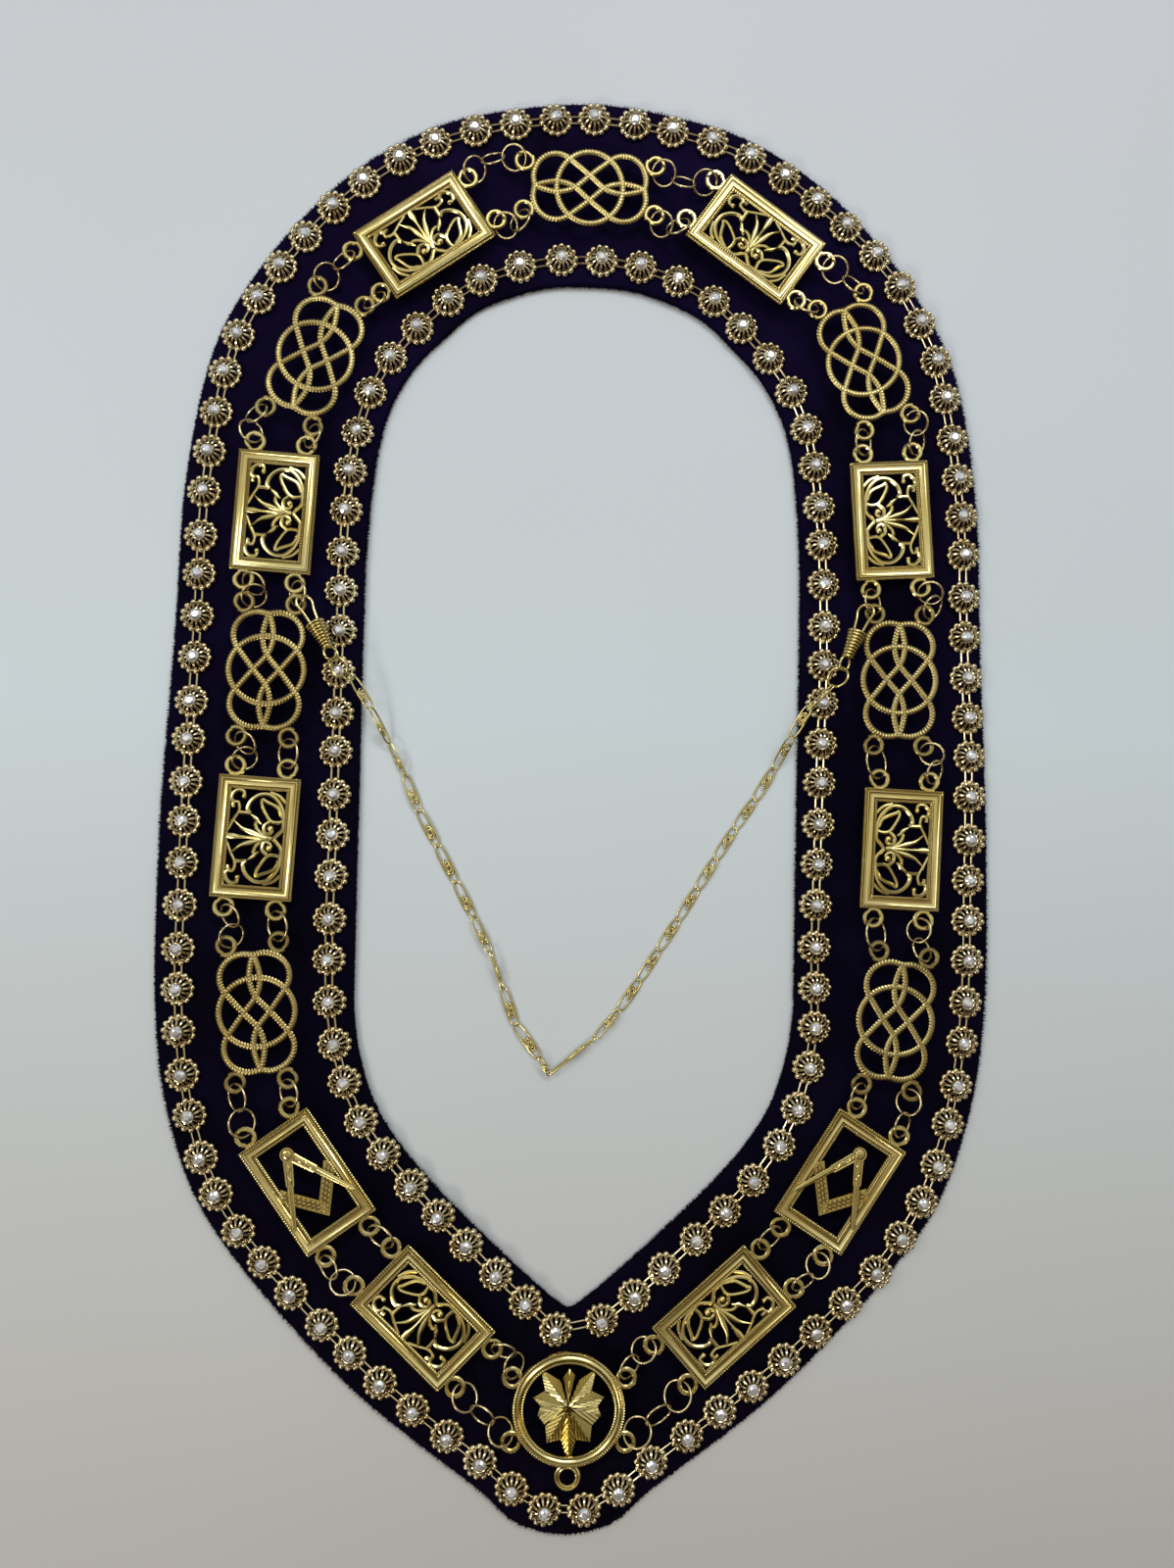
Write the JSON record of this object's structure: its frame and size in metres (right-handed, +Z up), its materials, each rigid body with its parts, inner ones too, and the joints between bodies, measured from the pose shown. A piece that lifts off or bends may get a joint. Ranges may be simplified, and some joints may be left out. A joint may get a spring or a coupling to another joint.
{
  "type": "masonic chain collar",
  "caption": "Velvet chain collar edged with stone flowers, carrying a chain of pierced gilt plates on jump rings, with a safety chain and two hook clasps.",
  "frame": {"origin": "on the resting plane, at the middle of the collar's outline", "axes": "+Z up out of the surface it lies on, +Y toward the neck top, -Y toward the V point, +X to the right seen from above"},
  "size_m": [0.258, 0.4454, 0.0118],
  "materials": {
    "velvet": "pile",
    "gold": "gilt, polished",
    "trim_gold": "gilt, darker between the ribs",
    "stone": "cut"
  },
  "bodies": {
    "root": {"velvet_yoke": "velvet", "outer_stone_trim": "trim_gold", "inner_stone_trim": "trim_gold", "plate_01_knot": "gold", "plate_02_filigree": "gold", "plate_03_knot": "gold", "plate_04_filigree": "gold", "plate_05_knot": "gold", "plate_06_filigree": "gold", "plate_07_knot": "gold", "plate_08_tools": "gold", "plate_09_filigree": "gold", "medallion": "gold", "plate_11_filigree": "gold", "plate_12_tools": "gold", "plate_13_knot": "gold", "plate_14_filigree": "gold", "plate_15_knot": "gold", "plate_16_filigree": "gold", "plate_17_knot": "gold", "plate_18_filigree": "gold", "rings_outer_01": "gold", "rings_inner_01": "gold", "rings_outer_02": "gold", "rings_inner_02": "gold", "rings_outer_03": "gold", "rings_inner_03": "gold", "rings_outer_04": "gold", "rings_inner_04": "gold", "rings_outer_05": "gold", "rings_inner_05": "gold", "rings_outer_06": "gold", "rings_inner_06": "gold", "rings_outer_07": "gold", "rings_inner_07": "gold", "rings_outer_08": "gold", "rings_inner_08": "gold", "rings_outer_09": "gold", "rings_inner_09": "gold", "rings_outer_10": "gold", "rings_inner_10": "gold", "rings_outer_11": "gold", "rings_inner_11": "gold", "rings_outer_12": "gold", "rings_inner_12": "gold", "rings_outer_13": "gold", "rings_inner_13": "gold", "rings_outer_14": "gold", "rings_inner_14": "gold", "rings_outer_15": "gold", "rings_inner_15": "gold", "rings_outer_16": "gold", "rings_inner_16": "gold", "rings_outer_17": "gold", "rings_inner_17": "gold", "rings_outer_18": "gold", "rings_inner_18": "gold", "clasp_right": "gold", "clasp_left": "gold", "safety_chain": "gold"}
  },
  "joints": []
}
